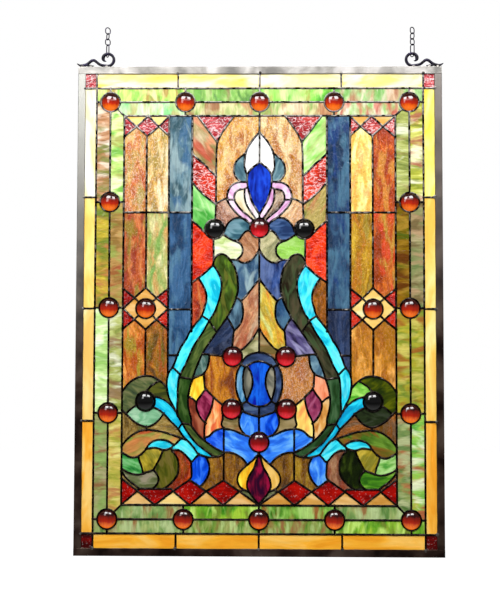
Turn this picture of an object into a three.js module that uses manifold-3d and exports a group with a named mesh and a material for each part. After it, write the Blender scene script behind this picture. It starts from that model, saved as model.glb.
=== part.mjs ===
// A hanging stained glass window panel: coloured glass in a solder network, set with domed glass jewels,
// held in a channel frame and hung on two scroll hooks with short chains.
// Millimetres, +Z up, the front faces -Y. The origin is midway between the tops of the two chains.
import * as THREE from "three";
import { mergeVertices } from "three/addons/utils/BufferGeometryUtils.js";
import Module from "manifold-3d";

const wasm = await Module();
wasm.setup();

// Panel and frame
const PANEL_W = 457;
const PANEL_H = 610;
const FRAME_FACE = 9.5;
const FRAME_WALL = 1.2;
const GLASS_T = 3.2;
const SEAT = 0.3; // clearance round a piece of glass in its channel, line or ring

// Borders, from the frame inwards
const AMBER_SIDE = 14;
const AMBER_END = 18;
const GREEN_BAND = 35;

// Solder lines
const LEAD_W = 3.2;
const LEAD_H = 1.2; // how far a line stands proud of the glass
const RUN_ON = 1.2; // how far a line runs into the one it meets
const FLAT_WITHIN = 0.1; // how far off flat a face made of fewer triangles may be
const CURVE_WITHIN = 0.9; // how far a chord may lie from its curve

// Jewels
const JEWEL_R = 11.2;
const JEWEL_RISE = 6;
const RING_W = 1.8; // solder round a jewel
const JEWEL_SIDES = 8;

// Hooks and chains
const HOOK_T = 3;
const HOOK_STROKE = 3.6;
const CURL_STROKE = 2.4; // the small curl below the crest
const HOOK_SINK = 0.3; // how much of the hook's stroke is cut away where it stands on the rail
const SCROLL_R = 7.9;
const SCROLL_FROM_EDGE = 36.4;
const CREST_FROM_EDGE = 18.4;
const CREST_RISE = 8.8;
const WIRE = 1.3;
const WIRE_SIDES = 4;
const LONG_LINK = 17.4;
const SMALL_LINK = 9.6;
const SMALL_LINKS = 3;
const LINK_TURN = 35; // degrees between the first link and the plane square to the panel
const LINK_PLAY = 1; // room for the hook inside the first link
const LINK_BITE = 0.2; // how far two links press into each other where they touch

// Sizes that follow
const half = GLASS_T / 2;
const proud = half + LEAD_H;
const frameHalf = half + SEAT + FRAME_WALL;
const lipX = PANEL_W / 2 - FRAME_FACE;
const glassX = PANEL_W / 2 - FRAME_WALL - SEAT;
const glassTop = PANEL_H - FRAME_WALL - SEAT;
const amberX = lipX - AMBER_SIDE;
const amberLow = FRAME_FACE + AMBER_END;
const amberHigh = PANEL_H - amberLow;
const midX = amberX - GREEN_BAND / 2;
const midLow = amberLow + GREEN_BAND / 2;
const midHigh = PANEL_H - midLow;
const fieldX = amberX - GREEN_BAND;
const fieldLow = amberLow + GREEN_BAND;
const fieldHigh = PANEL_H - fieldLow;

// The field's pattern is drawn for its right half, as distances from the centre line and above the
// panel's foot, on a field of this size. It keeps its proportions when the field changes.
const DRAWN_X = 170;
const DRAWN_LOW = 62.5;
const DRAWN_HIGH = 547.5;

function drawn([a, z]) {
  const share = (z - DRAWN_LOW) / (DRAWN_HIGH - DRAWN_LOW);
  return [(a * fieldX) / DRAWN_X, fieldLow + share * (fieldHigh - fieldLow)];
}

// Lines where one sheet of glass ends and the next begins
const JOINT_PATHS = [
  [[84.3, 547.5], [84.3, 277]],
  [[113.5, 547.5], [113.5, 221]],
  [[57.5, 359.5], [76, 343.3]],
  [[170, 95], [149, 80.5], [107, 80.5], [85.5, 93.5]],
  [[0, 126], [14, 112]],
];
const JOINT_CURVES = [
  [[76, 343.3], [66, 320], [71.3, 296.3], [90.7, 267], [107.3, 232.3], [114, 210], [104.5, 181]],
  [[57.5, 359.5], [55.5, 367.5], [49.8, 373], [41, 371], [31.6, 358.5], [26.6, 337], [31.6, 310.4],
    [50, 280], [70.5, 249], [84.5, 212], [88, 188], [84, 163], [68, 142], [44, 127.5]],
  [[138, 196], [121, 193.5], [104.5, 181]],
  [[138, 185], [122.7, 178.4], [93.5, 146.5], [67, 122.3], [43.5, 126.5]],
  [[170, 202], [158, 215], [141, 221.5], [124, 216.5], [113, 205]],
  [[0, 379], [8, 367.5], [19, 362.3], [28, 366], [36, 366]],
  [[43.5, 127], [32, 126.5], [14, 112]],
  [[85.5, 93.5], [83.3, 106], [83.8, 115.7], [74.4, 124.7]],
];

// Lines on the glass inside one sheet
const MAIN_PATHS = [
  [[141.5, 521.5], [141.5, 331]],
  [[141.5, 279], [141.5, 221.5]],
  [[170, 425.5], [84.3, 425.5]],
  [[78, 547.5], [53, 515]],
  [[32, 547.5], [53, 515]],
  [[53, 515], [54.3, 436], [55.3, 415]],
  [[84.3, 464], [54.5, 436]],
  [[84.3, 499.5], [54, 471.5]],
  [[70.5, 248.5], [40, 246]],
];
const MAIN_CURVES = [
  [[57.5, 359.5], [48, 343], [48.3, 323], [61.6, 291], [82.2, 256.7], [99, 219], [100, 172]],
  [[0, 527], [14.2, 508], [18.4, 488], [15, 472]],
  [[0, 489], [10.7, 480.2], [15.3, 464], [9, 438.5], [0, 423]],
  [[15.5, 464.3], [32, 461.5], [40.3, 444], [28.5, 424.5], [8, 410]],
  [[48, 402], [35, 416], [22, 418.5], [6, 408]],
  [[0, 251], [19, 242], [28.5, 212], [20, 178.7]],
  [[0, 126], [13, 94], [0, 64]],
  [[170, 134], [153, 150.5], [125, 153.5], [93.5, 144]],
  [[170, 179], [155, 165], [139.5, 158.5], [118, 174]],
];

// The drawing's jewels, on its right half
const JEWELS = {
  cross: [141.5, 305],
  scroll: [141, 190],
  shoulder: [56, 404.5],
  vase_upper: [33, 245.5],
  vase_lower: [34, 180.5],
  lily: [0, 406],
  base: [0, 140],
};
const BLACK_JEWELS = ["scroll", "shoulder"];

// Materials
const metal = new THREE.MeshStandardMaterial({ color: 0x2b2622, roughness: 0.45, metalness: 0.9 });
const channelMetal = new THREE.MeshStandardMaterial({ color: 0x4a4038, roughness: 0.5, metalness: 0.9 });
const castMetal = new THREE.MeshStandardMaterial({ color: 0x1b1720, roughness: 0.4, metalness: 0.8 });
const glassOf = (color) => new THREE.MeshStandardMaterial({ color, roughness: 0.2, metalness: 0 });

// Solids: three.js geometry in, manifold solids joined and cut, three.js geometry out
function solid(geometry) {
  const bare = geometry.clone();
  bare.deleteAttribute("normal");
  bare.deleteAttribute("uv");
  const merged = mergeVertices(bare, 1e-4);
  return new wasm.Manifold(
    new wasm.Mesh({
      numProp: 3,
      vertProperties: new Float32Array(merged.attributes.position.array),
      triVerts: new Uint32Array(merged.index.array),
    }),
  );
}

function geometryOf(made) {
  const mesh = made.getMesh();
  const places = new Float32Array(mesh.numVert * 3);
  for (let i = 0; i < mesh.numVert; i++) {
    places.set(mesh.vertProperties.subarray(i * mesh.numProp, i * mesh.numProp + 3), i * 3);
  }
  const indexed = new THREE.BufferGeometry()
    .setAttribute("position", new THREE.BufferAttribute(places, 3))
    .setIndex(new THREE.BufferAttribute(new Uint32Array(mesh.triVerts), 1));
  const flat = indexed.toNonIndexed();
  flat.computeVertexNormals();
  return flat;
}

// A shape drawn on the panel's face, as a slab from one depth to another
function slab(points, front, back) {
  const shape = new THREE.Shape(points.map(([x, z]) => new THREE.Vector2(x, z)));
  const geometry = new THREE.ExtrudeGeometry(shape, { depth: 1, bevelEnabled: false });
  const position = geometry.getAttribute("position");
  for (let i = 0; i < position.count; i++) {
    const depth = position.getZ(i) > 0.5 ? front : back;
    position.setXYZ(i, position.getX(i), depth, position.getY(i));
  }
  return solid(geometry);
}

function box(x0, x1, y0, y1, z0, z1) {
  return slab([[x0, z0], [x1, z0], [x1, z1], [x0, z1]], y0, y1);
}

// A disc facing the front, with its corners clear of the upright and level directions
function disc([x, z], radius, front, back) {
  const points = [];
  for (let i = 0; i < JEWEL_SIDES; i++) {
    const angle = (2 * Math.PI * (i + 0.5)) / JEWEL_SIDES;
    points.push([x + radius * Math.cos(angle), z + radius * Math.sin(angle)]);
  }
  return slab(points, front, back);
}

// The outline of a stroke of the given half widths along a row of points
function stroke(points, halfWidths) {
  const last = points.length - 1;
  const sides = [[], []];
  points.forEach(([x, z], i) => {
    const [ax, az] = points[Math.max(i - 1, 0)];
    const [bx, bz] = points[Math.min(i + 1, last)];
    const length = Math.hypot(bx - ax, bz - az);
    let reach = halfWidths[i] / length;
    if (i > 0 && i < last) {
      const before = Math.atan2(z - az, x - ax);
      const turn = Math.atan2(bz - z, bx - x) - before;
      reach /= Math.max(Math.abs(Math.cos(turn / 2)), 0.6);
    }
    sides[0].push([x - (bz - az) * reach, z + (bx - ax) * reach]);
    sides[1].unshift([x + (bz - az) * reach, z - (bx - ax) * reach]);
  });
  return [...sides[0], ...sides[1]];
}

// The row of points with each end run on in its own direction
function runOn(points, length) {
  const grow = ([x, z], [fromX, fromZ]) => {
    const share = length / Math.hypot(x - fromX, z - fromZ);
    return [x + (x - fromX) * share, z + (z - fromZ) * share];
  };
  const n = points.length;
  return [grow(points[0], points[1]), ...points.slice(1, n - 1), grow(points[n - 1], points[n - 2])];
}

// A smooth curve through the points, in even steps
function smooth(points, steps) {
  const curve = new THREE.CatmullRomCurve3(points.map(([x, z]) => new THREE.Vector3(x, z, 0)));
  return curve.getSpacedPoints(steps).map((p) => [p.x, p.y]);
}

// The few points of a row that keep its shape within a distance
function thinned(points, within) {
  const [ax, az] = points[0];
  const [bx, bz] = points[points.length - 1];
  const length = Math.hypot(bx - ax, bz - az);
  const away = points.map(([x, z]) => Math.abs((x - ax) * (bz - az) - (z - az) * (bx - ax)) / length);
  const most = Math.max(...away);
  if (most <= within) return [points[0], points[points.length - 1]];
  const i = away.indexOf(most);
  return [...thinned(points.slice(0, i + 1), within), ...thinned(points.slice(i), within).slice(1)];
}

const chords = (points) => thinned(smooth(points, 20 * points.length), CURVE_WITHIN);

const mirrored = (points) => points.map(([x, z]) => [-x, z]);
const bothSides = (lines) => [...lines, ...lines.map(mirrored)];

// A broken line as one stroke for each straight piece
function pieces(points) {
  return points.slice(1).map((point, i) => [points[i], point]);
}

// Lines of the borders
const separatorsX = [0, 102.5 / DRAWN_X].map((share) => share * fieldX);
const separatorsZ = [165.5, 305, 444.5].map((z) => drawn([0, z])[1]);
const endJewelsX = [0, 93.3 / DRAWN_X].map((share) => share * fieldX);
const sideJewelsZ = [175.5, 306, 438.5].map((z) => drawn([0, z])[1]);

function borderJoints() {
  const lines = [];
  for (const z of [amberLow, amberHigh]) lines.push([[-glassX, z], [glassX, z]]);
  for (const x of [-amberX, amberX]) lines.push([[x, 0], [x, PANEL_H]]);
  for (const z of [fieldLow, fieldHigh]) lines.push([[-fieldX, z], [fieldX, z]]);
  for (const x of [-fieldX, fieldX]) lines.push([[x, fieldLow], [x, fieldHigh]]);
  for (const side of [-1, 1]) {
    for (const [mid, field] of [[midLow, fieldLow], [midHigh, fieldHigh]]) {
      lines.push([[side * midX, mid], [side * fieldX, field]]);
      lines.push([[side * midX, mid], [side * amberX, mid]]);
    }
  }
  return lines;
}

function borderLines() {
  const lines = [];
  for (const [mid, amber, field, lip] of [
    [midLow, amberLow, fieldLow, FRAME_FACE],
    [midHigh, amberHigh, fieldHigh, PANEL_H - FRAME_FACE],
  ]) {
    lines.push([[-midX, mid], [midX, mid]]);
    for (const x of endJewelsX) lines.push(...bothSides([[[x, amber], [x, field]]]));
    for (const x of separatorsX) lines.push(...bothSides([[[x, amber], [x, lip]]]));
    lines.push(...bothSides([[[midX, mid], [midX, amber]]]));
  }
  for (const side of [-1, 1]) {
    lines.push([[side * midX, midLow], [side * midX, midHigh]]);
    for (const z of sideJewelsZ) lines.push([[side * fieldX, z], [side * amberX, z]]);
    for (const z of separatorsZ) lines.push([[side * amberX, z], [side * lipX, z]]);
  }
  return lines;
}

function fieldJoints() {
  const paths = JOINT_PATHS.flatMap((line) => pieces(line.map(drawn)));
  return bothSides([...paths, ...JOINT_CURVES.map((line) => chords(line.map(drawn)))]);
}

// The lattice at the columns' top and the cross round the jewel in their middle
function latticeLines() {
  const [outer, middle, inner] = [170, 141.5, 113.5];
  return [
    [[outer, 547.5], [middle, 521.5]],
    [[middle, 547.5], [outer, 521.5]],
    [[middle, 547.5], [inner, 521.5]],
    [[inner, 547.5], [middle, 521.5]],
    [[outer, 331], [inner, 279]],
    [[inner, 331], [outer, 279]],
  ];
}

function fieldLines() {
  const paths = [...MAIN_PATHS, ...latticeLines()].flatMap((line) => pieces(line.map(drawn)));
  const curves = MAIN_CURVES.map((line) => chords(line.map(drawn)));
  const centre = [[547.5, 489], [394, 251], [183.7, 126]].map(([top, foot]) =>
    [[0, top], [0, foot]].map(drawn),
  );
  return [...bothSides([...paths, ...curves]), ...centre];
}

// Places of all 28 jewels, by the name of their node
function jewelPlaces() {
  const places = {};
  const pair = (name, [x, z]) => {
    if (x === 0) {
      places[`jewel_${name}`] = [x, z];
      return;
    }
    places[`jewel_${name}_left`] = [-x, z];
    places[`jewel_${name}_right`] = [x, z];
  };
  for (const [name, mid] of [["bottom", midLow], ["top", midHigh]]) {
    pair(`${name}_centre`, [endJewelsX[0], mid]);
    pair(`${name}_quarter`, [endJewelsX[1], mid]);
    pair(`${name}_corner`, [midX, mid]);
  }
  ["low", "middle", "high"].forEach((name, i) => pair(`side_${name}`, [midX, sideJewelsZ[i]]));
  for (const [name, place] of Object.entries(JEWELS)) pair(name, drawn(place));
  return places;
}

const jewels = jewelPlaces();
const joints = [...borderJoints(), ...fieldJoints()];
const lines = [...borderLines(), ...fieldLines()];

function strokes(list, width, ends, front, back) {
  return list.map((line) => {
    const points = runOn(line, ends);
    return slab(stroke(points, points.map(() => width / 2)), front, back);
  });
}

const ringR = JEWEL_R + SEAT + RING_W;
const discs = (radius, front, back) =>
  Object.values(jewels).map((place) => disc(place, radius, front, back));
const join = (solids) => wasm.Manifold.union(solids);

// Solder: a bar through the panel in each joint and a ring round each jewel, and lines on the front
function network() {
  const face = box(-lipX + SEAT, lipX - SEAT, -proud, proud, FRAME_FACE + SEAT, PANEL_H - FRAME_FACE - SEAT);
  const bars = join([
    ...strokes(joints, LEAD_W, RUN_ON, -proud, proud),
    ...discs(ringR, -proud, proud),
  ]);
  const front = join(strokes(lines, LEAD_W, RUN_ON, -proud, -half));
  const openings = join(discs(JEWEL_R + SEAT, -2 * proud, 2 * proud));
  return tidied(front.add(bars).intersect(face).subtract(openings));
}

// The same solid with flat faces made of as few triangles as they need
function tidied(made) {
  return made.asOriginal().simplify(FLAT_WITHIN);
}

// One sheet, parted along the joints and pierced for the jewels
function glassSheets() {
  const sheet = box(-glassX, glassX, -half, half, PANEL_H - glassTop, glassTop);
  const cuts = join([
    ...strokes(joints, LEAD_W + 2 * SEAT, RUN_ON + SEAT, -2 * half, 2 * half),
    ...discs(ringR + SEAT, -2 * half, 2 * half),
  ]);
  return sheet.subtract(cuts).decompose().map(tidied);
}

// A point inside each sheet, and its colour
function sheetSeeds() {
  const seeds = [];
  const inAmberX = (amberX + lipX) / 2;
  const inAmberZ = FRAME_FACE + AMBER_END / 2;
  const inGreen = GREEN_BAND / 4;
  const quarter = separatorsX[1] / 2;
  const red = 0x8c1d16;
  for (const [side, name] of [[-1, "left"], [1, "right"]]) {
    const at = (a, z) => {
      const [x, height] = drawn([a, z]);
      return [side * x, height];
    };
    seeds.push([`red_corner_bottom_${name}`, [side * inAmberX, inAmberZ], red]);
    seeds.push([`red_corner_top_${name}`, [side * inAmberX, PANEL_H - inAmberZ], red]);
    seeds.push([`amber_border_${name}`, [side * inAmberX, PANEL_H / 2], 0xf2b54a]);
    seeds.push([`green_border_${name}`, [side * (amberX - inGreen), PANEL_H / 2 + inGreen * 4], 0x9aa860]);
    seeds.push([`column_glass_${name}`, at(155, 380), 0xa8733a]);
    seeds.push([`blue_strip_${name}`, at(99, 380), 0x4b6486]);
    seeds.push([`lyre_ribbon_${name}`, at(60, 320), 0x2bb8c8]);
    seeds.push([`scroll_corner_glass_${name}`, at(157, 140), 0x566b38]);
  }
  for (const [name, z, band] of [
    ["bottom", inAmberZ, amberLow + inGreen],
    ["top", PANEL_H - inAmberZ, amberHigh - inGreen],
  ]) {
    seeds.push([`amber_border_${name}`, [quarter, z], 0xf2b54a]);
    seeds.push([`green_border_${name}`, [quarter, band], 0x9aa860]);
  }
  seeds.push(["arch_and_lily_glass", drawn([30, 505]), 0xc98f4e]);
  seeds.push(["vase_glass", drawn([45, 215]), 0x8a5a2c]);
  seeds.push(["base_glass", drawn([54, 105]), 0x7a4a1c]);
  return seeds;
}

// A jewel: a flat back, a straight edge inside its ring and a dome standing out of the front
function jewelGeometry() {
  const profile = [
    [0, half],
    [JEWEL_R, half],
    [JEWEL_R, -half],
    [JEWEL_R * 0.7, -half - JEWEL_RISE * 0.75],
    [0, -half - JEWEL_RISE],
  ];
  const points = profile.map(([r, y]) => new THREE.Vector2(r, y)).reverse();
  const turned = new THREE.LatheGeometry(points, JEWEL_SIDES, Math.PI / JEWEL_SIDES);
  return geometryOf(solid(turned).asOriginal());
}

// A U channel with its slot towards the glass: the section's depth runs along Y
function channel(x0, x1, z0, z1, slot) {
  const slotHalf = half + SEAT;
  return box(x0, x1, -frameHalf, frameHalf, z0, z1).subtract(
    box(slot[0], slot[1], -slotHalf, slotHalf, slot[2], slot[3]),
  );
}

function frameBars() {
  const edge = PANEL_W / 2;
  const past = edge + FRAME_FACE;
  const wall = FRAME_WALL;
  return {
    frame_channel_bottom: channel(-edge, edge, 0, FRAME_FACE, [-past, past, wall, 2 * FRAME_FACE]),
    frame_channel_top: channel(-edge, edge, PANEL_H - FRAME_FACE, PANEL_H,
      [-past, past, PANEL_H - 2 * FRAME_FACE, PANEL_H - wall]),
    frame_channel_left: channel(-edge, -lipX, FRAME_FACE, PANEL_H - FRAME_FACE,
      [-edge + wall, -lipX + FRAME_FACE, 0, PANEL_H]),
    frame_channel_right: channel(lipX, edge, FRAME_FACE, PANEL_H - FRAME_FACE,
      [lipX - FRAME_FACE, edge - wall, 0, PANEL_H]),
  };
}

// The left hook, from its pointed foot over a crest down to the rail and round into a scroll.
// Distances are from the panel's left edge and above its top; the hook's foot is cut flat on the rail.
const hookLow = HOOK_STROKE / 2 - HOOK_SINK;
const scrollCentre = [SCROLL_FROM_EDGE, SCROLL_R + hookLow];
const hookTop = scrollCentre[1] + SCROLL_R + HOOK_STROKE / 2;

function hookLine() {
  const run = smooth(
    [
      [-2, 4.6],
      [2, hookLow + 0.6],
      [9, hookLow + 1.6],
      [CREST_FROM_EDGE, CREST_RISE],
      [(CREST_FROM_EDGE + SCROLL_FROM_EDGE) / 2, hookLow + 1.6],
      [SCROLL_FROM_EDGE - 2, hookLow],
    ],
    9,
  );
  const turns = 11;
  for (let i = 0; i <= turns; i++) {
    const t = i / turns;
    const angle = -Math.PI / 2 + t * 1.72 * Math.PI;
    const radius = SCROLL_R * (1 - 0.66 * t ** 5);
    run.push([scrollCentre[0] + radius * Math.cos(angle), scrollCentre[1] + radius * Math.sin(angle)]);
  }
  return run;
}

function hook(side) {
  const place = ([e, v]) => [side * (PANEL_W / 2 - e), PANEL_H + v];
  const line = hookLine();
  const widths = line.map((_, i) => {
    const t = i / (line.length - 1);
    return (HOOK_STROKE / 2) * Math.min(1, 0.3 + 9 * t, 0.35 + 6 * (1 - t));
  });
  const curl = smooth([[9, 3], [12.5, 1.6], [15.5, 1], [19, 1.6]], 5);
  const curlWidths = curl.map((_, i) => (CURL_STROKE / 2) * (1 - 0.12 * i));
  const body = join([
    slab(stroke(line.map(place), widths), -HOOK_T / 2, HOOK_T / 2),
    slab(stroke(curl.map(place), curlWidths), -HOOK_T / 2, HOOK_T / 2),
  ]);
  const above = box(-PANEL_W, PANEL_W, -HOOK_T, HOOK_T, PANEL_H, PANEL_H + 2 * hookTop);
  return body.intersect(above);
}

// One link: two straight sides and two round ends, standing upright and turned about Z
function link(length, width, x, bottom, degrees) {
  const r = (width - WIRE) / 2;
  const straight = length - WIRE - 2 * r;
  const points = [];
  for (const [centre, start] of [[r + straight, 0], [r, Math.PI]]) {
    for (let i = 0; i <= 4; i++) {
      const angle = start + (i * Math.PI) / 4;
      points.push(new THREE.Vector3(0, r * Math.cos(angle), centre + r * Math.sin(angle)));
    }
  }
  const wire = new THREE.TubeGeometry(new Loop(points), points.length, WIRE / 2, WIRE_SIDES, true);
  wire.rotateZ((degrees * Math.PI) / 180);
  wire.translate(x, 0, bottom + WIRE / 2);
  return solid(wire);
}

// A closed curve that passes through the given corners at equal steps of its parameter
class Loop extends THREE.Curve {
  constructor(corners) {
    super();
    this.corners = corners;
  }

  getPoint(t, target = new THREE.Vector3()) {
    const n = this.corners.length;
    const place = (t % 1) * n;
    const i = Math.floor(place) % n;
    return target.lerpVectors(this.corners[i], this.corners[(i + 1) % n], place - Math.floor(place));
  }

  getPointAt(t, target) {
    return this.getPoint(t, target);
  }

  getTangentAt(t, target = new THREE.Vector3()) {
    const step = 0.5 / this.corners.length;
    const ahead = this.getPoint((t + step) % 1);
    const behind = this.getPoint((t - step + 1) % 1);
    return target.subVectors(ahead, behind).normalize();
  }
}

// The first link passes round the scroll's top, so its round end hangs lower than the stroke's edges
const slantT = HOOK_T / Math.cos((LINK_TURN * Math.PI) / 180);
const linkInside = slantT + 2 * SEAT + LINK_PLAY;
const linkWidth = linkInside + 2 * WIRE;
const bendRise = linkInside / 2 - Math.sqrt((linkInside / 2) ** 2 - (slantT / 2) ** 2);
const longLinkBottom = hookTop - HOOK_STROKE - WIRE - SEAT - bendRise - LINK_PLAY;
const linkPitch = SMALL_LINK - 2 * WIRE + LINK_BITE;
const chainTop = longLinkBottom + LONG_LINK + SMALL_LINKS * linkPitch;

function chain(side) {
  const x = side * (PANEL_W / 2 - SCROLL_FROM_EDGE);
  const links = [link(LONG_LINK, linkWidth, x, PANEL_H + longLinkBottom, LINK_TURN)];
  for (let i = 1; i <= SMALL_LINKS; i++) {
    const top = longLinkBottom + LONG_LINK + i * linkPitch;
    links.push(link(SMALL_LINK, linkWidth, x, PANEL_H + top - SMALL_LINK, LINK_TURN + 90 * i));
  }
  return join(links);
}

// The scene graph
const panel = new THREE.Group();
panel.position.z = -(PANEL_H + chainTop);

function addNode(name, geometry, material, place = [0, 0, 0]) {
  const mesh = new THREE.Mesh(geometry, material);
  mesh.name = name;
  mesh.position.set(...place);
  panel.add(mesh);
}

for (const [name, bar] of Object.entries(frameBars())) addNode(name, geometryOf(bar), channelMetal);
addNode("solder_network", geometryOf(network()), metal);

const sheets = glassSheets();
for (const [name, [x, z], color] of sheetSeeds()) {
  const probe = box(x - 0.5, x + 0.5, -0.5, 0.5, z - 0.5, z + 0.5);
  const sheet = sheets.find((candidate) => candidate.intersect(probe).volume() > 0);
  addNode(name, geometryOf(sheet), glassOf(color));
}

for (const [name, [x, z]] of Object.entries(jewels)) {
  const black = BLACK_JEWELS.some((kind) => name.includes(kind));
  addNode(name, jewelGeometry(), glassOf(black ? 0x0a0a0c : 0xa01808), [x, 0, z]);
}

for (const [side, name] of [[-1, "left"], [1, "right"]]) {
  addNode(`scroll_hook_${name}`, geometryOf(hook(side)), castMetal);
  addNode(`hanging_chain_${name}`, geometryOf(chain(side)), castMetal);
}

const windowPanel = new THREE.Group();
windowPanel.add(panel);
export default windowPanel;
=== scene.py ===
"""Looks of a hanging stained glass panel: panes of art glass in a solder network, domed jewels,
a channel frame, two cast scroll hooks and two short chains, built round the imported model."""
import math
import random
from collections import defaultdict, namedtuple

import bpy
import numpy as np
from mathutils import Matrix, Vector, noise
from mathutils.geometry import delaunay_2d_cdt


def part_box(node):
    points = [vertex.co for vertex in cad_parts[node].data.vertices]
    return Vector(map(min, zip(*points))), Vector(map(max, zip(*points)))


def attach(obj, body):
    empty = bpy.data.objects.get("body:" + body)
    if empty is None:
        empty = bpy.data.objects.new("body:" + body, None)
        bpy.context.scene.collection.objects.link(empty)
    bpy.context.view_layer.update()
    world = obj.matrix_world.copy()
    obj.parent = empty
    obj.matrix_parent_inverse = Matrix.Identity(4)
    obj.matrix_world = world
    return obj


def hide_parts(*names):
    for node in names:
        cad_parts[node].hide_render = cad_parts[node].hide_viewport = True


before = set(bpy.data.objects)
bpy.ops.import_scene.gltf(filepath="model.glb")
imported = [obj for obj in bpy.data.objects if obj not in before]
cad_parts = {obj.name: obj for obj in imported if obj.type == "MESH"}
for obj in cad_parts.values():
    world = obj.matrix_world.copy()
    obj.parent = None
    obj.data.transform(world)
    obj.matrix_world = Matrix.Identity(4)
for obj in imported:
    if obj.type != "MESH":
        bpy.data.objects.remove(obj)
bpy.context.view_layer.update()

# Drawing: x from the centre line and z above the panel's foot, in millimetres. Front faces -Y.
MM = 0.001
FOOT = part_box("frame_channel_bottom")[0].z
LOW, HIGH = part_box("frame_channel_bottom"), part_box("frame_channel_top")
PANEL_W = (LOW[1].x - LOW[0].x) / MM
PANEL_H = (HIGH[1].z - FOOT) / MM
FACE = (LOW[1].z - FOOT) / MM
CHANNEL_HALF = LOW[1].y / MM
WALL = 1.2
CLEARANCE = 0.3
GLASS_HALF = 1.6
LIP_X = PANEL_W / 2 - FACE
GLASS_X = PANEL_W / 2 - WALL - CLEARANCE
GLASS_LOW, GLASS_HIGH = WALL + CLEARANCE, PANEL_H - WALL - CLEARANCE
SIDES = (("left", -1), ("right", 1))

# Rectangles of the borders
AMBER_X, MID_X, FIELD_X = 205.0, 187.5, 170.0
AMBER_Z, MID_Z, FIELD_Z = (27.5, 582.5), (45.0, 565.0), (62.5, 547.5)
TIES_X = (0.0, 93.3)
TIES_Z = (175.5, 306.0, 438.5)
AMBER_CUTS_X = (0.0, 102.5)
AMBER_CUTS_Z = (165.5, 305.0, 444.5)

# Solder
BEAD_HALF = 1.6
BEAD_DEPTH = 2.8
BEAD_SIDES = 8
STEP = 2.4
RING_MIDDLE = 12.25
RING_HALF = 1.25
RING_BEADS, RING_CUTS = 36, 24
RUN_ON = 2.0
PANE_GAP = 0.25
PANE_SLOPE, PANE_LEAN = 0.003, 0.25
BLOB_ROWS, BLOB_SIDES = 5, 10

JEWEL_R = 11.2
JEWEL_RISE = 6.0
JEWEL_ROWS, JEWEL_SIDES = 14, 48
FIELD_JEWELS = {
    "cross": (141.5, 305),
    "scroll": (141, 190),
    "shoulder": (56, 404.5),
    "vase_upper": (33, 245.5),
    "vase_lower": (34, 180.5),
    "lily": (0, 406),
    "base": (0, 140),
}
BLACK_JEWELS = ("scroll", "shoulder")
RUBY_JEWELS = ("vase", "lily", "base")


def paths(text):
    """Lines of (x, z) points, from text with spaces between points and a semicolon after each line."""
    lines = text.strip().strip(";").split(";")
    return [[tuple(float(n) for n in point.split(",")) for point in line.split()] for line in lines]


# Lines of the field's right half that run straight from point to point
STRAIGHT = paths("""
84.3,547.5 84.3,277;
113.5,547.5 113.5,221;
141.5,521.5 141.5,331;
141.5,279 141.5,221.5;
170,425.5 84.3,425.5;
113.5,304 84.3,304;
113.5,247 101.5,247;
43.5,157 43.5,93;
170,547.5 154.5,534 141,522 126.5,534 113.5,547.5;
140,547.5 154.5,534 170,521;
140,547.5 126.5,534 113.5,522;
141.5,331 155.5,318.3 169.5,305 155.5,291.5 141.5,279;
141.5,331 128.3,318.3 113.5,305 128,291.5 141.5,279;
170,330 155.5,318.3 141.5,305;
113.5,330 128.3,318.3 141.5,305;
170,279.5 155.5,291.5 141.5,305;
113.5,279 128,291.5 141.5,305;
142,200 134,209 125,214.8;
139.5,158.5 139.5,154.5;
95.3,162.5 99.5,156.5;
71.3,296.3 62,290;
107.3,232.3 98,223;
61.5,288.5 53.3,276.5;
99,220 83,217.5;
95,163 84.3,161.2;
53,515 54,500 54.3,436 55.5,412;
57.3,396 57,366 57.5,359.5;
40.3,441.5 31.3,441.5;
39.8,294.3 35.3,286.7 31,278;
22.5,236 17.5,232.5;
21.5,187 15.5,190;
170,95 150,79.5 128.5,62.5;
170,62.5 150,79.5 148,82.3 108,82.3 106,79.5 85.5,62.5;
128.5,62.5 106,79.5 85.5,93.5 65,79.5 44,62.5;
85.5,62.5 65,79.5 43.7,93 24,79.5 0,62.5;
44,62.5 24,79.5 18.5,81.5;
""")

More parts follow.
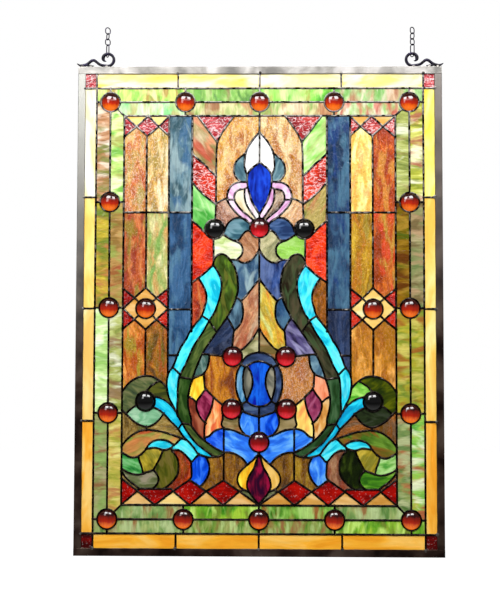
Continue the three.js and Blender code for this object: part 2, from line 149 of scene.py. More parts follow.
# Lines of the field's right half that curve through their points
CURVED = paths("""
170,202 161,213 150,219.5 141,221.5 131,220 122,214.5 114.5,207;
170,179 165,174.5 155,165 147,160.5 140,158.5 131,161 124,167 118,175;
165,174.5 156,182.5 150,186;
133,196.5 121,193.5 113,188.5 105.5,181 99.8,171 95,162.5 84.5,146.5 79,139.8 71,133 63.5,127.5 55,122;
134,184 122.7,178.4 118.2,174.7 110.7,166.5 100.5,156.5 93.5,146.5 87,140.2 80.7,132.9 74.4,124.7 67,122.3
  61.5,121.2 54.5,122 48,122.8 43.5,126;
76,343.3 70.7,335 66.3,325 65.7,316 68.3,306 71.3,296.3 80.7,284 86,276.5 90.7,267 98,255.5 101.8,246.5
  107.3,232.3 112.3,225 114.4,214.7 113.9,204 111.5,194 107,185.5 104,178.6;
57.5,359.5 52,351.5 48,343 47,334 48.3,323 51.2,312 55.4,301 61.6,291 70.7,274.5 77.5,264.5 82.2,256.7
  87.1,245.8 91.6,235 97,225 99.5,218 100.6,210 101,190 101.5,180 100.5,172;
57.3,360 56.5,366 53.5,370.5 49.8,373 45,373 39.8,369.8 35.3,364.3 31.6,358.5 28.2,349 26.6,337 26.6,328
  28.5,319.5 31.6,310.4 35.7,302 39.8,294.5 50,280 60,265.5 70.5,249 76.2,236 79,229 82.5,218 86.2,206 88,188
  86,175.5 84,168 84,161.5 78,152 71,144.5 63,138.5 55,133 43.5,127.3;
57.5,359.5 69.8,348 76,343.3 84.3,337.5;
84.3,415 78,410 66,398;
84.3,464 78,456 69,447 60,439.7 54.8,436;
84.3,499.5 78,493.5 68.5,485.5 61.6,478 54.5,471.5;
78,547.5 70,537 61.7,525.3 53,514.5;
32,547.5 40.8,535.3 47.5,525.3 53,514.5;
54.8,436.5 48,440.5 40,443.5;
0,527 4,522.5 9.2,516 14.2,508 17.2,501 18.2,494 18.6,482 15.2,472;
17.5,500 24,495 30,488.5 32,481 31.2,473.5 27,467 22.5,464 15.5,464.3;
0,489 4.4,485.3 10.7,480.2 14.3,474.5 15.4,467.8 14.9,459.5 12.6,449.5 9,438.5 4.4,430.5 0,423;
22.5,464 29,462.8 34.6,459.6 38.5,454 40.3,447.5 40.3,441.5 38.5,437 34.4,431.2 28.5,424.5 21.6,418.5
  11,411.5;
14.8,457 18,455.5 23.5,454.5 29,452 31,448 31.3,441.5 27.1,434 21.6,427.5 15.3,422.5 7,415;
18.5,455 18.7,448 18.2,442.5 15.5,434 11,427 4,417;
45,400 38.5,412.5 31,418 23.5,418.7 17,416.3 10,409;
46,398.5 38,393 31,389.8 26,391 21,397.5 16.5,402 10,403;
31,389.8 24,386.5 20.8,380 22,372.5 28,366;
37,366 28,366 21.5,362.5 15,363 8,367.5 3,374 0,379;
0,342 9,330.5 16,321.5 22.5,314.5;
28.5,319.5 22.5,314.5 20.3,305 20.2,296 22.5,288.3 26.5,282 31,277.5 32.3,269 33.5,255;
70.5,248.5 60,248 51,246.8 43,246;
26,252 19.2,255.8 13,262 7,269.5 0,281;
0,251 10.5,248.7 17.5,244 21.3,238.5 24,233 27,227 28.7,217 28.7,208 27,199 24,191.5 20.5,184.5 20,178.7
  11,174.3 0,171;
0,240 7,238.5 13,235.3 17.5,232 19.6,224 20,214.5 19.3,205.5 17.3,197.5 15,190.5 9,185.7 0,183.7;
15,234.5 10,225.5 8,216 8.4,209 11,200.5 15.3,191;
61.7,247.8 62.7,238 65,230 69.5,223.8 79,219.8 83,217.5;
68.5,224.5 67.9,214.5 66.8,206.5 63.5,202.5 58.5,197.5 54,193 43,184;
88,196.5 83,193.7 77.5,189;
66.8,205 71.5,198 77.5,189 77.5,182 75.5,175.5 71,168 66,163;
56.5,195 58,186 61,176 66,165.5 67.6,156 67,142;
45,176 45,168 46.5,161.5 44,157;
44.3,157 54.4,154 63.5,146.5 67.5,146;
43.5,156 36,155.5 31,154.3 22,150.5 15,148 9,146;
20,178.7 23.7,172 24.8,163 22,155 16.5,148;
43.5,127.3 36,127.3 28.5,125 21.3,120.5 14,112.7;
0,126 6,119.5 14,112.3 20,107 25.3,100 26.5,92.5 24,86 18.5,81.5 13,79.5;
0,126 3,117 6,108 11.5,99 14.3,91 14.6,85 12.5,79.5 7,72 0,64;
65.5,121.5 61.8,113 61.2,105.5 63,98.5 67.5,90.5 73,84.8;
84,116 83.3,106 83.8,96 85.5,93.5;
107,128.5 101,120 99.3,109 100.3,100.5 105,93 111,87 118,82.3;
118.8,129.5 122.5,120 126.5,112.5 130.5,105.3;
130.5,105.3 126,100 123.8,94 126,87.5 131,82.3;
145.5,124.7 139.5,131 136.5,136.5 131.8,140.2 125.5,142.3 117.5,142.3 110.7,140 105,136;
140,131.2 127,132.5 119,130 113,130.8 108,133;
96.5,144 103,137.5 108,133 107.3,128.5;
107.3,130 99.5,129.8 92,125 86.3,118.5 83.7,115.5 78.5,120.5 74.4,124.7;
170,134 165,141 157.3,148 150,152.3 140.5,154.8 130,154 120.5,152.5 109.5,149.3 100,146 90.3,142.6;
170,127 165,124 158.5,120.8 152,121 145.5,124.7;
149,121 148,117 145.3,110 143,101;
170,107 163.5,103 157,100.5 150,99.5 143,101 136,103.5 130.5,105.3;
170,104 165.5,97 160,91.5 153,86.5 148,82.3;
""")
CENTRE = [(547.5, 489), (423, 410), (396, 251), (183.7, 171), (171, 150), (130, 126)]

# How each kind of glass is patterned: the length and width of its swirls and of its fine streaks, how
# much those shade it, and its rolled texture: the length and width of a ripple, where in the ripple's
# height a painted highlight lies, how strong it is, how deep the relief is and how rough it is.
Kind = namedtuple("Kind", "long wide streak hair shade ripple crest gleam relief rough")
# Where in a ripple's height the painted highlight lies: a band at the middle draws veins of glint, one near
# the top sparse bright dots
VEINS, SEEDS = (0.42, 0.475, 0.53), (0.63, 0.72, 0.80)
KINDS = {
    "opal": Kind(80, 24, 30, 4.0, 0.05, (9.0, 7.0), VEINS, 0.0, 0.10, (0.16, 0.28)),
    "streaky": Kind(34, 16, 22, 2.2, 0.16, (6.0, 4.0), VEINS, 0.04, 0.18, (0.14, 0.30)),
    "wispy": Kind(34, 17, 22, 2.2, 0.12, (8.0, 4.0), VEINS, 0.0, 0.16, (0.14, 0.30)),
    "granite": Kind(34, 13, 4.4, 2.0, 0.24, (3.4, 2.0), VEINS, 0.60, 0.32, (0.14, 0.34)),
    "grained": Kind(34, 13, 5.0, 2.2, 0.20, (3.4, 2.2), VEINS, 0.09, 0.24, (0.14, 0.34)),
    "hammered": Kind(30, 20, 9, 5.0, 0.14, (5.6, 3.6), VEINS, 1.0, 0.45, (0.06, 0.18)),
    "rolled": Kind(30, 20, 9, 5.0, 0.12, (4.2, 3.2), VEINS, 0.15, 0.26, (0.06, 0.18)),
    "seedy": Kind(34, 14, 16, 3.0, 0.16, (2.4, 2.2), SEEDS, 0.30, 0.12, (0.06, 0.16)),
    "smooth": Kind(26, 10, 20, 3.0, 0.10, (10.0, 7.0), VEINS, 0.0, 0.12, (0.06, 0.16)),
}

# Glasses of each kind: the three colours that the swirls run through, then any accents in patches
SHEETS = {
    "opal": dict(
        # amber_cream, high on the left side, is partly paler glass and partly painted highlight from the
        # light at the top left
        amber_pale="f2cf62 fbe88a fff6c2 fffbe6", amber_cream="f4dc84 fcf0b4 fffcec",
        amber_warm="f6c054 fbd874 fce898", amber_gold="f4a42c fbb844 fcd074",
        amber_deep="f2a024 fbb434 fcc45c", amber_bright="f4d548 fbe86c fff2a0",
        amber_tile="c88a34 dea552 ecc07c", amber_light="f2c468 f8d888 fce8b0",
        pale_amber="e8b44c f8d078 fce4a4",
    ),
    "hammered": dict(
        red_dusty="841820 ac3038 c44c50", red_upper="9c1408 cc2c14 dc4428",
        red_lattice="84121a b02c2c c44840",
    ),
    "seedy": dict(
        red_corner="3c0202 560403 760804", red_deep="740402 980602 b01004",
        cream_lime="b4cc78 dce4b4 f0f4dc", lime="6ca834 90c850 b0dc7c",
    ),
    "rolled": dict(
        red_orange="ac1402 dc2a02 f04410", red_medallion="8c0c06 b41608 cc3014",
    ),
    "wispy": dict(
        green_moss="5f8f45 8fbf60 b3c884 8a7a50 6fae4a", green_peach="7ca450 bcc480 ddd0a4 c48460 986040",
        green_spring="58ac38 84d450 b0e074 a8a050 d8f0a0", green_sand="90b060 d4cc98 e4d4b0 d4a078 b07450",
        green_mint="84d884 a9e89c c8f0b4 e4f4cc b8b070", green_lemon="68a83e a4dc62 dcee82 b08a4a ece0a0",
        green_rose="74b058 a6c888 cdb08e b07858 e4d4bc", green_blush="94c070 ccdcac e4e8c8 d48070 bc5848",
        green_umber="94683c b8845c c8a480 f0e0cc 747c34",
        green_mustard="84842c b8a430 ccb43c 647c28 b47440", green_snow="98c868 d0eca0 f0fcd0 f4fce8 b8dc84",
        green_dale="748c48 949c60 b0a87c 8c5038 90b060", green_leafy="78b44c b4dc70 dceca0 ecf0c4 a0a050",
        green_brick="8c6c34 b0884c b4985c a05030 8c9c48", green_field="6c7c34 9ca454 bcc478 dce0c0 8c6c48",
        green_straw="98a038 bcb04c d0bc60 dcd480 b87c48", green_bark="4c5808 745c08 8c640c a8842c 5c2c08",
        green_ochre="708830 9ca030 b8a430 ccc060 9c5c24", green_fern="4c7034 6c884c 8c9c54 ac6440 b8c08c",
        green_olive="748428 b0b440 d4d470 ecebc4 a8604c", green_stone="6c7c48 8c8c5c a49870 ac8c68 6c5c38",
        green_flare="5ca83c 94cc54 b4b848 e8f0c8 b0503a", green_grass="3c841c 74b02c a4cc3c 788830 c4e874",
        green_slate="4c7c28 78983c a0a860 9c6440 b8d084", green_hedge="5c8440 80a058 a4b46c 98643c b8cc90",
        green_pine="347418 5c9830 8cc050 9c5430 b0d878", side_brown="7c7c48 a89464 c4b08c b8503c d88c64",
        side_green="64a838 98d868 c8f098 e4f4c4 a8bc6c", leaf_green="44a03c 74c464 9cdc84 cce8b0",
        cream="b8a078 dccba0 f0e6cc", gray_tan="7c7c50 a8a478 c0bc90 a88860",
        khaki="6c5c30 968458 ac9870 a0683c", smoke="4c4c44 6c6c60 94907c",
        clay="6c2c1c 94442c b46c4c ac3c2c", leaf_flame="7c8c38 a49c4c bcb464 c8482c d0884c",
        leaf_moss="3c6418 648c2c 84a43c 88501c", yellow_olive="6c6414 ac9828 c4ac3c 807c28",
    ),
    "granite": dict(
        tan_pink="b4541c cc8838 e8b870 c0602c a89444", tan_amber="ac782c d4a44c ecc884 f4e4b8 a08838",
        arch_amber="ac6410 c88828 dcac50 e8c480", arch_tan="a8641c c48c38 d8ac5c b87838 e8cc94",
        rose_brown="7c4a34 a87458 c49c80", rose_gray="5c4434 8c7058 b49c80",
        rose_tan="b47844 d8a874 ecd4a8", vase_tan="945818 b87428 d08c40 c07c38 a85c20",
    ),
    "grained": dict(
        tan_pale="e0ac44 f8d46c fcf0a0 f4b068 ecac48", tan_light="a86c10 d08824 e4a44c a05c10",
        rust="9c3a10 b85824 d48448 8c2814 8c7824", rust_red="84200a b43c14 c85424 c87838 942c14",
        orange_brown="a84a0c cc7020 e49844 a04408 a08c24", umber="5c3804 985c0c b87820 706018 a04c10",
        red_brown="842402 b44404 d46814 983004 c88430", brown_deep="704004 9c5808 b46c14 7c3c04",
        red_flame="8c3404 b45010 d06c20 b89030 cc3c18", green_cream="88a454 b8b468 dcd49a cc9454 74a048",
        olive_yellow="845c04 b48410 cca42c 98842c b46c14", leaf_tan="6c7430 98883c b09c54 b87c4c",
        brown_rose="84482c a87048 c09470", tan_olive="84845c a8a474 c0b88c",
        vase_rose="945438 b87850 c89468 ac5838 c0a080", vase_gold="a8942c c8a830 dcb838 dc7c18 ccd07c",
        vase_amber="743404 ac640c cc841c 8c3808", ground="604814 8c7030 a88c48 5c5c24",
        ground_rust="644008 84480c 9c5c1c 6c5034", copper="7c2002 a83204 c44c0c 8c480c",
        copper_tan="643c24 844c30 a47854 8c3c24", base_brown="4c2c04 84540c a47418 704008",
        base_umber="4c2c04 80540c a07c1c 6c4404",
    ),
    "streaky": dict(
        slate="1c3858 2a5078 3c648c 4c7490", slate_green="34525c 486876 648490 3c6488 8ca4a8",
        slate_dark="161e34 22304f 34466c 444f6c", slate_night="182c46 263f60 345674 1e3a70 48708a",
        slate_silver="20405c 3c5c7c 6c8c9c 98b0b4", royal_slate="101c44 243c74 3c5898 5c70a0",
        slate_mid="2c4458 4c6c80 64889c", indigo="241e40 463e6c 605888 9894bc",
        gray_teal="34544c 4c7068 749488 8ca49c", steel="305068 4c7088 789cac",
    ),
    "smooth": dict(
        white="dcdee4 f6f6f4 ffffff ffffff", lily_slate="3e5e6c 5a7c88 86a0a4",
        cobalt="0c1e78 1430a8 1c48cc", pink="c486b8 e0b0d6 f4dcf0 ecc4e4",
        petal_white="e0ccd4 f8eef4 ffffff", teal_slate="2c5060 45707c 7094a0",
        lens_blue="20345c 34507c 546c98", oval_slate="20304c 34446c 4c6484", ice="2c6c98 5c94bc 8cb8d4",
        hourglass="0818a0 0c48c4 1464e4", yellow="f0a81c f8cc30 fcec54", purple="701436 a83a60 b85070",
        plum="641c40 94385c a45478", sunset="e8643c f4904c fcb86c fcd090",
        flame="f89454 fccc64 fce47c fcec98", peach="ec7c50 f8a47c fcc8a4", ochre="bc7430 e0a454 ecc488",
        turquoise="10b4d4 2cdcf4 58f4fc 70ecf8", cyan_stem="0894c8 10b8e0 30dcf8",
        olive_band="2c3c0c 3c541c 5c7c20 606424", olive_light="2c4018 445828 607034",
        moss_band="1c3810 2c4c18 44602c", dark_band="241c10 343824 4c4430 3c5030",
        forest_band="1c3818 2c502c 446440", circle_gray="344430 546038 787850",
        circle_olive="1c2c0c 343c18 54581c", circle_mint="4c8c5c 78b488 a8d0ac",
        circle_green="44a424 84cc4c a8e46c", circle_dark="1c2c04 384404 5c6404",
        circle_gloom="141c0c 243018 343c2c", teal_green="247434 449c48 78bc78",
        meadow="509c3c 84c05c b0dc8c", dark_olive="303c08 4c5010 64601c 70642c",
        deep_green="0c1404 182404 344410", gray_leaf="545c34 6c744c 948c74",
        green_leaf="2c6414 4c8c1c 7cac3c", royal="0438b8 0850e4 3880f8", sky="2464e0 3484f8 6cb4fc",
        deep_blue="0c3cc4 1c58ec 3c7cf8", magenta="2c0424 5c0828 98103c",
    ),
}

GLASS = {
    name: (KINDS[kind], codes.split())
    for kind, glasses in SHEETS.items() for name, codes in glasses.items()
}

# Panes of the field by zone: the glass in the left half and in the right half, the way its streaks run
# on the right, in degrees from level, and a point inside each such pane of the right half.
UP = 90
PANES = {
    "column_glass": [
        ("amber_light", "amber_tile", 0, (155, 543), (126.5, 543)),
        ("red_dusty", "red_lattice", 0, (165, 534), (140.5, 534), (117, 534)),
        ("tan_pink", "red_brown", UP, (156, 480)), ("tan_amber", "tan_pale", UP, (127.5, 480)),
        ("rust", "red_flame", UP, (156, 380)), ("green_cream", "olive_yellow", UP, (127.5, 380)),
        ("amber_tile", "amber_light", 0, (141.5, 322), (141.5, 287), (161, 305), (121, 305)),
        ("red_medallion", "red_medallion", 0, (166, 317), (117, 317), (166, 292), (117, 292)),
        ("orange_brown", "tan_light", UP, (156, 250)), ("umber", "tan_light", UP, (127.5, 250)),
    ],
    "blue_strip": [
        ("slate_green", "slate_night", UP, (99, 490)), ("slate", "slate_night", UP, (99, 360)),
        ("slate", "slate_dark", UP, (100, 280), (109.5, 238)),
    ],
    "lyre_ribbon": [
        ("turquoise", "turquoise", 75, (57, 325)), ("turquoise", "turquoise", 125, (79, 274)),
        ("turquoise", "turquoise", UP, (107, 205)), ("cyan_stem", "cyan_stem", 40, (119, 184.5)),
        ("cyan_stem", "cyan_stem", 48, (85.5, 143.4)), ("olive_band", "dark_band", UP, (37, 335)),
        ("olive_light", "dark_band", 122, (67, 268)), ("moss_band", "forest_band", UP, (94, 195)),
        ("olive_light", "forest_band", 45, (76, 143)),
    ],
    "scroll_corner_glass": [
        ("circle_gray", "circle_dark", 30, (158, 202)), ("circle_olive", "circle_green", 0, (121, 203)),
        ("circle_mint", "circle_gloom", 0, (143, 170)), ("ground", "ground_rust", UP, (160, 158)),
        ("ground", "ground_rust", 0, (113, 160)), ("leaf_flame", "leaf_moss", 160, (152, 138)),
        ("turquoise", "turquoise", 0, (124, 137)), ("turquoise", "turquoise", 40, (91, 134)),
        ("teal_green", "meadow", 20, (160, 112)), ("yellow_olive", "yellow_olive", 60, (134, 118)),
        ("dark_olive", "deep_green", 80, (111, 108)), ("gray_leaf", "green_leaf", 0, (145, 92)),
        ("copper", "copper_tan", UP, (92, 108)), ("ground", "ground_rust", 0, (164, 93.2)),
    ],
    "arch_and_lily_glass": [
        ("side_brown", "side_green", 50, (72, 515)), ("red_dusty", "red_lattice", 0, (55, 535)),
        ("red_upper", "red_upper", 0, (70, 470)), ("leaf_green", "leaf_tan", 60, (72, 430)),
        ("red_orange", "red_orange", 0, (72, 380)), ("rust_red", "brown_deep", UP, (77, 315)),
        ("arch_amber", "arch_tan", UP, (40, 500)), ("white", "white", UP, (8, 500)),
        ("lily_slate", "lily_slate", 60, (25, 480)), ("pink", "pink", 45, (34.5, 453.5)),
        ("pink", "pink", 50, (32, 433)), ("cream", "rose_gray", 60, (25, 443)),
        ("petal_white", "pink", 70, (15, 443)), ("rose_brown", "rose_tan", 60, (42, 425)),
        ("teal_slate", "lens_blue", 0, (28, 404)), ("cream_lime", "lime", 0, (42, 380)),
        ("brown_rose", "tan_olive", 60, (12, 385)),
    ],
    "vase_glass": [
        ("slate_silver", "royal_slate", UP, (14, 350)), ("vase_rose", "vase_gold", 110, (10, 308)),
        ("slate_mid", "slate", UP, (29, 300)), ("slate_dark", "indigo", 135, (47, 265)),
        ("gray_tan", "khaki", 0, (7, 258)), ("ice", "oval_slate", UP, (24.3, 212)),
        ("oval_slate", "oval_slate", 0, (10, 179)), ("smoke", "smoke", UP, (14.5, 213)),
        ("gray_teal", "steel", 60, (71, 233)), ("vase_amber", "vase_tan", UP, (48, 222)),
        ("yellow", "peach", UP, (77, 205)), ("purple", "plum", 60, (67, 188)),
        ("sunset", "flame", UP, (54, 172)), ("clay", "ochre", UP, (79, 172)),
        ("khaki", "khaki", 0, (34, 162)), ("sky", "royal", UP, (10, 163)), ("sky", "sky", 20, (27, 138)),
        ("deep_blue", "sky", 30, (52, 140)),
    ],
    "base_glass": [
        ("base_brown", "base_umber", UP, (35, 106), (52, 106)), ("royal", "sky", UP, (73, 104)),
        ("yellow", "pale_amber", UP, (20, 96)),
        ("red_deep", "red_deep", 0, (85.5, 78), (44, 78), (128.5, 73), (164, 79)),
        ("amber_tile", "amber_tile", 0, (150, 67)), ("amber_light", "amber_tile", 0, (106, 67)),
        ("amber_tile", "amber_tile", 0, (65, 67), (24, 67)), ("gray_leaf", "gray_leaf", 0, (17, 78)),
    ],
}
CENTRE_PANES = {
    "arch_and_lily_glass": [(0, 455, "cobalt", UP)],
    "vase_glass": [(0, 245.5, "oval_slate", 0), (0, 212, "hourglass", UP)],
    "base_glass": [(0, 95, "magenta", UP)],
}
# Border glass from the foot upwards, or from the centre outwards: (outer strip, inner strip) of greens
GREEN_SIDES = {
    "left": ("dale snow mustard umber", "straw field brick leafy"),
    "right": ("flare ochre stone olive", "fern ochre bark field"),
}
GREEN_ENDS = {
    ("bottom", "left"): ("slate hedge", "grass hedge"),
    ("bottom", "right"): ("slate grass", "pine hedge"),
    ("top", "left"): ("moss lemon", "peach mint"),
    ("top", "right"): ("spring rose", "sand blush"),
}
AMBER_SIDES = {"left": "gold light warm cream", "right": "gold warm warm bright"}
ENDS = (("bottom", 0, "amber_deep", "red_corner"), ("top", PANEL_H, "amber_pale", "red_dusty"))
# A height or distance from the centre inside each border pane, and how far a green corner strip lies in
GREEN_SIDE_Z, AMBER_SIDE_Z = (105, 240, 372, 500), (90, 235, 375, 515)
GREEN_END_X, AMBER_END_X, CORNER_IN = (46, 140), (50, 150), 2.5


def linear(code):
    """A colour as Blender's shaders take it, from six hex digits of screen colour."""
    parts = [int(code[i:i + 2], 16) / 255 for i in (0, 2, 4)]
    return [c / 12.92 if c <= 0.04045 else ((c + 0.055) / 1.055) ** 2.4 for c in parts] + [1.0]


class Shell:
    """One piece's vertices and faces, gathered part by part in the drawing's millimetres."""

    def __init__(self):
        self.places, self.faces, self.slots, self.grain = [], [], [], []

    def add(self, places, faces, slot=0, grain=None):
        start = len(self.places)
        self.places += [tuple(p) for p in places]
        self.faces += [tuple(start + i for i in face) for face in faces]
        self.slots += [slot] * len(faces)
        if grain is not None:
            self.grain += [tuple(g) for g in grain]

    def build(self, name, materials, smooth=True):
        mesh = bpy.data.meshes.new(name)
        mesh.from_pydata([(x * MM, y * MM, FOOT + z * MM) for x, y, z in self.places], [], self.faces)
        for material in materials:
            mesh.materials.append(material)
        mesh.polygons.foreach_set("material_index", self.slots)
        mesh.polygons.foreach_set("use_smooth", [smooth] * len(self.faces))
        if self.grain:
            grain = mesh.attributes.new("grain", "FLOAT_VECTOR", "POINT")
            grain.data.foreach_set("vector", np.array(self.grain, np.float32).ravel())
        mesh.update()
        made = bpy.data.objects.new(name, mesh)
        bpy.context.scene.collection.objects.link(made)
        return made


def outward(places, faces):
    """The faces, turned round if they enclose a negative volume."""
    volume = 0.0
    for face in faces:
        for i in range(1, len(face) - 1):
            volume += np.dot(places[face[0]], np.cross(places[face[i]], places[face[i + 1]]))
    return [face[::-1] for face in faces] if volume < 0 else faces


def quads(rings, sides, closed=False):
    """Faces between neighbouring rings of points; closed joins the last ring to the first."""
    faces = []
    for i in range(rings if closed else rings - 1):
        near, far = i * sides, (i + 1) % rings * sides
        faces += [(near + k, near + (k + 1) % sides, far + (k + 1) % sides, far + k) for k in range(sides)]
    return faces


def skin(rings, sides):
    """Faces round rings of points, drawn together at each end to a point that follows the rings."""
    faces, last = quads(rings, sides), (rings - 1) * sides
    for k in range(sides):
        m = (k + 1) % sides
        faces += [(rings * sides, m, k), (rings * sides + 1, last + k, last + m)]
    return faces


def turned(x, z, profile, sides):
    """A body turned about the depth axis at (x, z), from (radius, depth) pairs from pole to pole."""
    turns = np.arange(sides) * 2 * math.pi / sides
    places = [(x + r * math.cos(t), y, z + r * math.sin(t)) for r, y in profile[1:-1] for t in turns]
    places = np.array(places + [(x, profile[0][1], z), (x, profile[-1][1], z)])
    return places, outward(places, skin(len(profile) - 2, sides))


def through(points, step):
    """Even steps along a smooth curve through the points."""
    p = np.array(points, float)
    t = np.r_[0, np.cumsum(np.hypot(*np.diff(p, axis=0).T))]
    slope = np.gradient(p, t, axis=0) if len(p) > 2 else np.repeat([(p[1] - p[0]) / t[1]], 2, 0)
    made = []
    for i in range(len(p) - 1):
        span = t[i + 1] - t[i]
        count = max(1, round(span / step))
        for u in np.arange(count) / count:
            ease = u * u * (3 - 2 * u)
            bend = slope[i] * (u * (1 - u) ** 2) + slope[i + 1] * (u * u * (u - 1))
            made.append(p[i] + (p[i + 1] - p[i]) * ease + bend * span)
    return np.array(made + [p[-1]])


def along(points, step):
    """Even steps along straight runs from point to point."""
    made = []
    for a, b in zip(points, points[1:]):
        a, b = np.array(a, float), np.array(b, float)
        count = max(1, round(np.hypot(*(b - a)) / step))
        made += [a + (b - a) * u for u in np.arange(count) / count]
    return np.array(made + [np.array(points[-1], float)])


def jewel_places():
    """Places of all the jewels by node name."""
    rows = [(f"{end}_{part}", x, z) for end, z in zip(("bottom", "top"), MID_Z)
            for part, x in (("centre", TIES_X[0]), ("quarter", TIES_X[1]), ("corner", MID_X))]
    rows += [(f"side_{height}", MID_X, z) for height, z in zip(("low", "middle", "high"), TIES_Z)]
    places = {}
    for name, x, z in rows + [(name, *place) for name, place in FIELD_JEWELS.items()]:
        if x:
            places[f"jewel_{name}_left"], places[f"jewel_{name}_right"] = (-x, z), (x, z)
        else:
            places[f"jewel_{name}"] = (0.0, z)
    return places


JEWELS = jewel_places()


def border_lines():
    """Straight lines of the amber and green borders, over both halves."""
    lines = []
    for amber, mid, field, rim in zip(AMBER_Z, MID_Z, FIELD_Z, (FACE, PANEL_H - FACE)):
        lines += [[(-x, z), (x, z)] for x, z in ((LIP_X, amber), (MID_X, mid), (FIELD_X, field))]
        for cuts, end in ((TIES_X, field), (AMBER_CUTS_X, rim)):
            lines += [[(x, amber), (x, end)] for x in sorted({side * x for side in (-1, 1) for x in cuts})]
        for side in (-1, 1):
            corner = (side * MID_X, mid)
            lines += [[corner, (side * FIELD_X, field)], [corner, (side * AMBER_X, mid)]]
            lines.append([corner, (side * MID_X, amber)])
    for side in (-1, 1):
        for x, (foot, top) in ((AMBER_X, (FACE, PANEL_H - FACE)), (MID_X, MID_Z), (FIELD_X, FIELD_Z)):
            lines.append([(side * x, foot), (side * x, top)])
        lines += [[(side * FIELD_X, z), (side * AMBER_X, z)] for z in TIES_Z]
        lines += [[(side * AMBER_X, z), (side * LIP_X, z)] for z in AMBER_CUTS_Z]
    return [along(line, 2 * STEP) for line in lines]


def field_lines():
    """Lines of the picture, over both halves."""
    half = [along(line, STEP) for line in STRAIGHT] + [through(line, STEP) for line in CURVED]
    centre = [along([(0, top), (0, foot)], STEP) for top, foot in CENTRE]
    return half + [line * (-1, 1) for line in half] + centre


def clear_of_jewels(line):
    """The stretches of a line that lie outside every jewel's ring."""
    centres = np.array(list(JEWELS.values()))
    inside = (np.hypot(*(line[:, None] - centres).transpose(2, 0, 1)) < RING_MIDDLE)
    runs, run = [], []
    for i, point in enumerate(line):
        if inside[i].any():
            if run:
                run.append(ring_crossing(run[-1], point, centres[inside[i].argmax()]))
                runs.append(run)
            run = []
            continue
        if not run and i and inside[i - 1].any():
            run = [ring_crossing(point, line[i - 1], centres[inside[i - 1].argmax()])]
        run.append(point)
    if run:
        runs.append(run)
    return [np.array(run) for run in runs if len(run) > 1]


def ring_crossing(out, within, centre):
    """Where a step from outside a ring to inside it meets the ring's middle."""
    step, away = within - out, out - centre
    a, b, c = step @ step, away @ step, away @ away - RING_MIDDLE ** 2
    return out + step * ((-b - math.sqrt(max(b * b - a * c, 0))) / a)


def ring(centre, radius, count):
    angles = np.arange(count) * 2 * math.pi / count
    return np.array(centre) + radius * np.c_[np.cos(angles), np.sin(angles)]


def edges_of(triangle):
    a, b, c = triangle
    return (a, b), (b, c), (c, a)


def triangle_cells(lines):
    """Parts the panel along its lines: returns the drawing's points and the triangles of each cell."""
    places, edges = [], []

    def draw(points, closed=False):
        start = len(places)
        places.extend(Vector(p) for p in points)
        edges.extend((start + i, start + i + 1) for i in range(len(points) - 1))
        if closed:
            edges.append((start + len(points) - 1, start))

    draw([(-GLASS_X, GLASS_LOW), (GLASS_X, GLASS_LOW), (GLASS_X, GLASS_HIGH), (-GLASS_X, GLASS_HIGH)], True)
    for centre in JEWELS.values():
        draw(ring(centre, RING_MIDDLE, RING_CUTS), True)
    for line in lines:
        first, last = line[0] - line[1], line[-1] - line[-2]
        reach = [line[0] + first * RUN_ON / np.hypot(*first), line[-1] + last * RUN_ON / np.hypot(*last)]
        for end, i in ((0, 0), (1, -1)):
            x, z = line[i]
            if abs(abs(x) - LIP_X) < 0.1 or min(abs(z - FACE), abs(z - PANEL_H + FACE)) < 0.1:
                reach[end] = line[i] + (reach[end] - line[i]) * FACE / RUN_ON
        draw([reach[0], *line[1:-1], reach[1]])
    found = delaunay_2d_cdt(places, edges, [], 0, 1e-4, True)
    points, made, triangles, origins = found[0], found[1], found[2], found[4]
    walls = {frozenset(edge) for edge, origin in zip(made, origins) if origin}
    beside = defaultdict(list)
    for i, triangle in enumerate(triangles):
        for edge in edges_of(triangle):
            beside[frozenset(edge)].append(i)
    cells, seen = [], set()
    for start in range(len(triangles)):
        if start in seen:
            continue
        seen.add(start)
        members, waiting = [], [start]
        while waiting:
            i = waiting.pop()
            members.append(i)
            for edge in map(frozenset, edges_of(triangles[i])):
                fresh = [] if edge in walls else [j for j in beside[edge] if j not in seen]
                seen.update(fresh)
                waiting += fresh
        cells.append([triangles[i] for i in members])
    return np.array([tuple(p) for p in points]), cells


